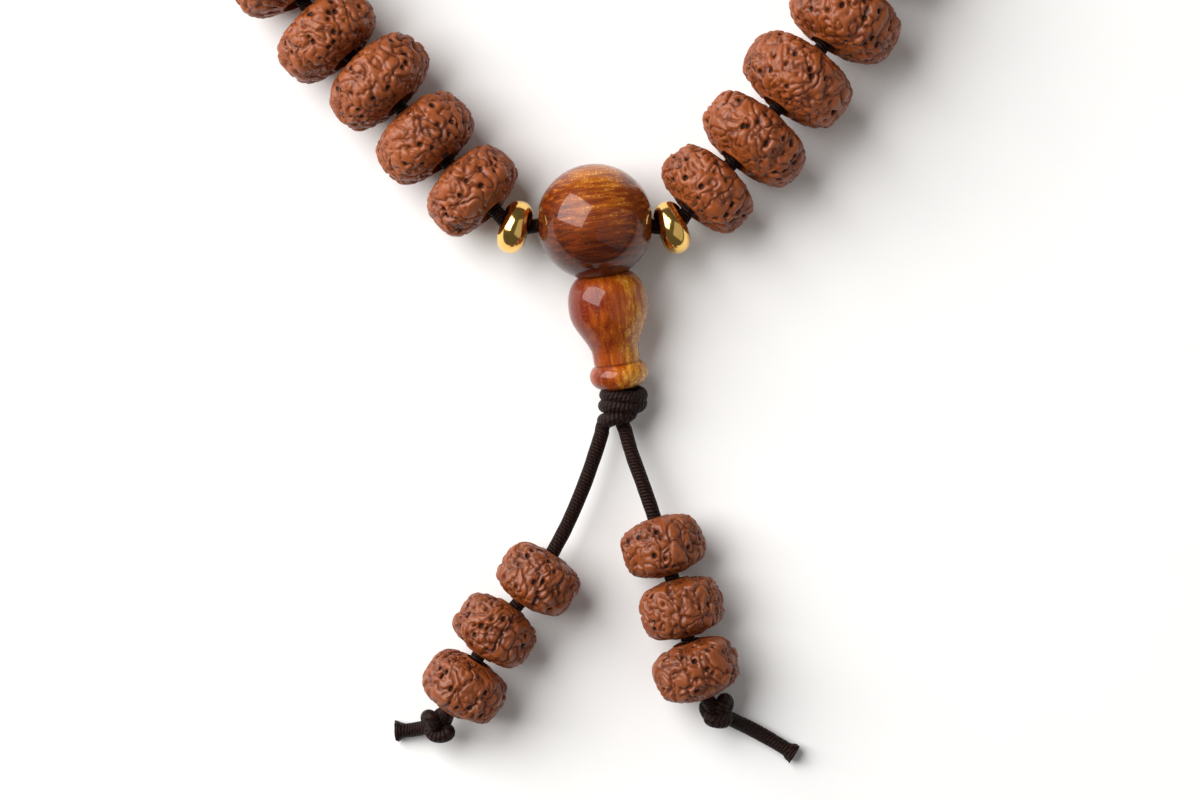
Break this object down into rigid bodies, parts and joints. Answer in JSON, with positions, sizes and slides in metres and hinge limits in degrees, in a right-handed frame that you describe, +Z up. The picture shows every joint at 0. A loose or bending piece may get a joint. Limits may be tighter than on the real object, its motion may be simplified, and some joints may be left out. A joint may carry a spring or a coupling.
{
  "type": "mala prayer beads",
  "caption": "Wrist mala of rudraksha seeds on a braided elastic cord, with an amber guru bead, a gourd bead, two gold spacers and two knotted tails of smaller seeds.",
  "frame": {"origin": "on the table under the middle of the laid-out beads' bounding box", "axes": "+Z up from the table, +Y from the tails toward the top of the loop, +X to the right seen from above"},
  "size_m": [0.0612, 0.1062, 0.0095],
  "materials": {
    "rudraksha_seed": "waxed",
    "tail_seed": "waxed",
    "amber_resin": "polished",
    "gold_plate": "polished",
    "braided_cord": "matte"
  },
  "bodies": {
    "core": {"guru_bead": "amber_resin", "loop_cord": "braided_cord", "main_knot": "braided_cord"},
    "gourd": {"gourd_bead": "amber_resin"},
    "tail_left": {"tail_cord_left": "braided_cord", "tail_knot_left": "braided_cord"},
    "tail_right": {"tail_cord_right": "braided_cord", "tail_knot_right": "braided_cord"},
    "spacer_left": {"spacer_left": "gold_plate"},
    "spacer_right": {"spacer_right": "gold_plate"},
    "tail_bead_left_1": {"tail_bead_left_1": "tail_seed"},
    "tail_bead_left_2": {"tail_bead_left_2": "tail_seed"},
    "tail_bead_left_3": {"tail_bead_left_3": "tail_seed"},
    "tail_bead_right_1": {"tail_bead_right_1": "tail_seed"},
    "tail_bead_right_2": {"tail_bead_right_2": "tail_seed"},
    "tail_bead_right_3": {"tail_bead_right_3": "tail_seed"},
    "bead_01": {"bead_01": "rudraksha_seed"},
    "bead_02": {"bead_02": "rudraksha_seed"},
    "bead_03": {"bead_03": "rudraksha_seed"},
    "bead_04": {"bead_04": "rudraksha_seed"},
    "bead_05": {"bead_05": "rudraksha_seed"},
    "bead_06": {"bead_06": "rudraksha_seed"},
    "bead_07": {"bead_07": "rudraksha_seed"},
    "bead_08": {"bead_08": "rudraksha_seed"},
    "bead_09": {"bead_09": "rudraksha_seed"},
    "bead_10": {"bead_10": "rudraksha_seed"},
    "bead_11": {"bead_11": "rudraksha_seed"},
    "bead_12": {"bead_12": "rudraksha_seed"},
    "bead_13": {"bead_13": "rudraksha_seed"},
    "bead_14": {"bead_14": "rudraksha_seed"},
    "bead_15": {"bead_15": "rudraksha_seed"},
    "bead_16": {"bead_16": "rudraksha_seed"},
    "bead_17": {"bead_17": "rudraksha_seed"},
    "bead_18": {"bead_18": "rudraksha_seed"},
    "bead_19": {"bead_19": "rudraksha_seed"},
    "bead_20": {"bead_20": "rudraksha_seed"},
    "bead_21": {"bead_21": "rudraksha_seed"},
    "bead_22": {"bead_22": "rudraksha_seed"},
    "bead_23": {"bead_23": "rudraksha_seed"},
    "bead_24": {"bead_24": "rudraksha_seed"},
    "bead_25": {"bead_25": "rudraksha_seed"},
    "bead_26": {"bead_26": "rudraksha_seed"},
    "bead_27": {"bead_27": "rudraksha_seed"}
  },
  "joints": [
    {"name": "tail_left_swing", "type": "hinge", "parent": "core", "child": "tail_left", "pos_m": [0.00211, -0.02774, 0.0025], "axis": [0, 0, 1], "range_deg": [-45, 5]},
    {"name": "tail_right_swing", "type": "hinge", "parent": "core", "child": "tail_right", "pos_m": [0.00391, -0.02754, 0.0025], "axis": [0, 0, 1], "range_deg": [-5, 45]},
    {"name": "tail_bead_left_1_slide", "type": "slide", "parent": "tail_left", "child": "tail_bead_left_1", "axis": [0.5446, 0.8387, 0], "range_m": [0, 0.0025]},
    {"name": "tail_bead_right_1_slide", "type": "slide", "parent": "tail_right", "child": "tail_bead_right_1", "axis": [-0.2924, 0.9563, 0], "range_m": [0, 0.004]},
    {"name": "tail_bead_left_2_spin", "type": "hinge", "parent": "tail_left", "child": "tail_bead_left_2", "pos_m": [-0.00659, -0.04384, 0.0035], "axis": [-0.5736, -0.8192, 0], "continuous": true},
    {"name": "tail_bead_left_3_spin", "type": "hinge", "parent": "tail_left", "child": "tail_bead_left_3", "pos_m": [-0.00909, -0.04844, 0.00357], "axis": [-0.5122, -0.8525, -0.1045], "continuous": true},
    {"name": "tail_bead_right_2_spin", "type": "hinge", "parent": "tail_right", "child": "tail_bead_right_2", "pos_m": [0.00851, -0.04204, 0.0035], "axis": [0.2588, -0.9659, 0], "continuous": true},
    {"name": "tail_bead_right_3_spin", "type": "hinge", "parent": "tail_right", "child": "tail_bead_right_3", "pos_m": [0.00971, -0.04704, 0.00357], "axis": [0.3401, -0.9345, -0.1045], "continuous": true},
    {"name": "gourd_spin", "type": "hinge", "parent": "core", "child": "gourd", "pos_m": [0.00151, -0.01084, 0.00475], "axis": [0.1545, -0.9755, -0.1564], "continuous": true},
    {"name": "spacer_left_spin", "type": "hinge", "parent": "core", "child": "spacer_left", "pos_m": [-0.00499, -0.01114, 0.0044], "axis": [-0.9455, 0.3256, 0], "continuous": true},
    {"name": "spacer_right_spin", "type": "hinge", "parent": "core", "child": "spacer_right", "pos_m": [0.00776, -0.01119, 0.0044], "axis": [0.9397, 0.342, 0], "continuous": true},
    {"name": "bead_01_spin", "type": "hinge", "parent": "core", "child": "bead_01", "pos_m": [-0.00849, -0.00814, 0.00399], "axis": [-0.7032, 0.6936, -0.1564], "continuous": true},
    {"name": "bead_02_spin", "type": "hinge", "parent": "core", "child": "bead_02", "pos_m": [-0.01229, -0.00394, 0.00419], "axis": [-0.6408, 0.7519, -0.1553], "continuous": true},
    {"name": "bead_03_spin", "type": "hinge", "parent": "core", "child": "bead_03", "pos_m": [-0.01599, 0.00066, 0.00444], "axis": [-0.6814, 0.7159, -0.1519], "continuous": true},
    {"name": "bead_04_spin", "type": "hinge", "parent": "core", "child": "bead_04", "pos_m": [-0.02019, 0.00436, 0.00434], "axis": [-0.6599, 0.737, -0.1463], "continuous": true},
    {"name": "bead_05_spin", "type": "hinge", "parent": "core", "child": "bead_05", "pos_m": [-0.02369, 0.00926, 0.00444], "axis": [-0.4624, 0.8758, -0.1386], "continuous": true},
    {"name": "bead_06_spin", "type": "hinge", "parent": "core", "child": "bead_06", "pos_m": [-0.02565, 0.01471, 0.00454], "axis": [-0.2315, 0.9643, -0.1289], "continuous": true},
    {"name": "bead_07_spin", "type": "hinge", "parent": "core", "child": "bead_07", "pos_m": [-0.02638, 0.02045, 0.00429], "axis": [-0.0149, 0.993, -0.1173], "continuous": true},
    {"name": "bead_08_spin", "type": "hinge", "parent": "core", "child": "bead_08", "pos_m": [-0.02583, 0.02622, 0.00456], "axis": [0.203, 0.9736, -0.104], "continuous": true},
    {"name": "bead_09_spin", "type": "hinge", "parent": "core", "child": "bead_09", "pos_m": [-0.02403, 0.03172, 0.00442], "axis": [0.4118, 0.9069, -0.0891], "continuous": true},
    {"name": "bead_10_spin", "type": "hinge", "parent": "core", "child": "bead_10", "pos_m": [-0.02107, 0.0367, 0.00435], "axis": [0.601, 0.7959, -0.0729], "continuous": true},
    {"name": "bead_11_spin", "type": "hinge", "parent": "core", "child": "bead_11", "pos_m": [-0.01709, 0.04091, 0.00459], "axis": [0.7615, 0.6458, -0.0557], "continuous": true},
    {"name": "bead_12_spin", "type": "hinge", "parent": "core", "child": "bead_12", "pos_m": [-0.01229, 0.04414, 0.00431], "axis": [0.8851, 0.4639, -0.0376], "continuous": true},
    {"name": "bead_13_spin", "type": "hinge", "parent": "core", "child": "bead_13", "pos_m": [-0.0069, 0.04625, 0.00448], "axis": [0.9657, 0.2591, -0.0189], "continuous": true},
    {"name": "bead_14_spin", "type": "hinge", "parent": "core", "child": "bead_14", "pos_m": [-0.00117, 0.04712, 0.00451], "axis": [0.9991, 0.0415, 0], "continuous": true},
    {"name": "bead_15_spin", "type": "hinge", "parent": "core", "child": "bead_15", "pos_m": [0.0046, 0.04673, 0.0043], "axis": [0.9838, -0.1781, 0.0189], "continuous": true},
    {"name": "bead_16_spin", "type": "hinge", "parent": "core", "child": "bead_16", "pos_m": [0.01015, 0.04507, 0.00458], "axis": [0.9205, -0.3888, 0.0376], "continuous": true},
    {"name": "bead_17_spin", "type": "hinge", "parent": "core", "child": "bead_17", "pos_m": [0.01521, 0.04225, 0.00438], "axis": [0.8125, -0.5804, 0.0557], "continuous": true},
    {"name": "bead_18_spin", "type": "hinge", "parent": "core", "child": "bead_18", "pos_m": [0.01952, 0.03838, 0.00439], "axis": [0.665, -0.7432, 0.0729], "continuous": true},
    {"name": "bead_19_spin", "type": "hinge", "parent": "core", "child": "bead_19", "pos_m": [0.02288, 0.03367, 0.00457], "axis": [0.4856, -0.8696, 0.0891], "continuous": true},
    {"name": "bead_20_spin", "type": "hinge", "parent": "core", "child": "bead_20", "pos_m": [0.02513, 0.02833, 0.0043], "axis": [0.2832, -0.9534, 0.104], "continuous": true},
    {"name": "bead_21_spin", "type": "hinge", "parent": "core", "child": "bead_21", "pos_m": [0.02616, 0.02264, 0.00452], "axis": [0.0676, -0.9908, 0.1173], "continuous": true},
    {"name": "bead_22_spin", "type": "hinge", "parent": "core", "child": "bead_22", "pos_m": [0.02591, 0.01685, 0.00447], "axis": [-0.1507, -0.9801, 0.1289], "continuous": true},
    {"name": "bead_23_spin", "type": "hinge", "parent": "core", "child": "bead_23", "pos_m": [0.02441, 0.01126, 0.00444], "axis": [-0.3538, -0.925, 0.1386], "continuous": true},
    {"name": "bead_24_spin", "type": "hinge", "parent": "core", "child": "bead_24", "pos_m": [0.02171, 0.00586, 0.00469], "axis": [-0.5207, -0.8411, 0.1463], "continuous": true},
    {"name": "bead_25_spin", "type": "hinge", "parent": "core", "child": "bead_25", "pos_m": [0.01791, 0.00076, 0.00464], "axis": [-0.5866, -0.7955, 0.1519], "continuous": true},
    {"name": "bead_26_spin", "type": "hinge", "parent": "core", "child": "bead_26", "pos_m": [0.01441, -0.00404, 0.00454], "axis": [-0.6307, -0.7603, 0.1553], "continuous": true},
    {"name": "bead_27_spin", "type": "hinge", "parent": "core", "child": "bead_27", "pos_m": [0.01061, -0.00804, 0.00399], "axis": [-0.6727, -0.7232, 0.1564], "continuous": true}
  ]
}
